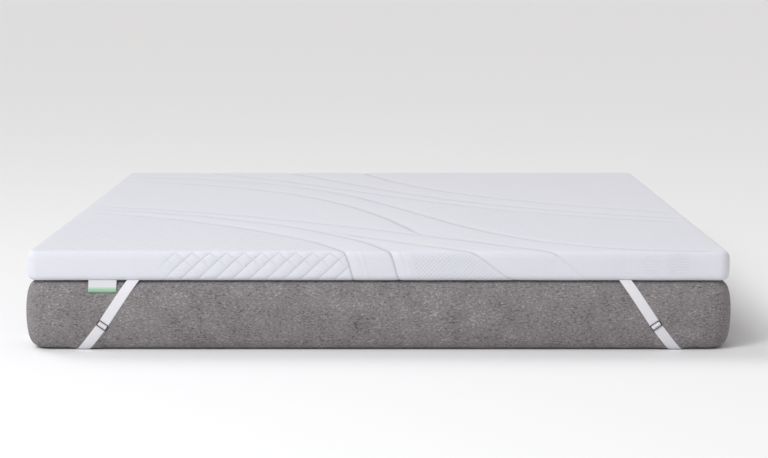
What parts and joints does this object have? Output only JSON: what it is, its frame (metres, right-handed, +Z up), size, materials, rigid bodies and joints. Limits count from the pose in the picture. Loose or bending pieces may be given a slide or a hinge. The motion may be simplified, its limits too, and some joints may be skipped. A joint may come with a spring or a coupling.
{
  "type": "mattress topper on mattress",
  "caption": "Thick quilted mattress topper with a white cover sewn in sweeping channels, held on a plain grey mattress by elastic corner straps with slides.",
  "frame": {"origin": "centre of the mattress's underside, on the surface it rests on", "axes": "+Z up, +Y towards the head end, +X to the right seen from the foot end"},
  "size_m": [1.9504, 2.06, 0.2788],
  "materials": {
    "cover": "white knitted quilting with raised waves and diamonds, matt",
    "mattress_cloth": "grey marled knit, matt",
    "webbing": "white ribbed elastic, matt",
    "label_cloth": "white satin with a green woven band, slight sheen",
    "adjuster_metal": "dark grey wire, satin"
  },
  "bodies": {
    "root": {"topper": "cover", "mattress": "mattress_cloth", "label": "label_cloth", "strap_front_left": "webbing", "strap_front_right": "webbing", "strap_back_left": "webbing", "strap_back_right": "webbing", "adjuster_front_left": "adjuster_metal", "adjuster_front_right": "adjuster_metal", "adjuster_back_left": "adjuster_metal", "adjuster_back_right": "adjuster_metal"}
  },
  "joints": []
}
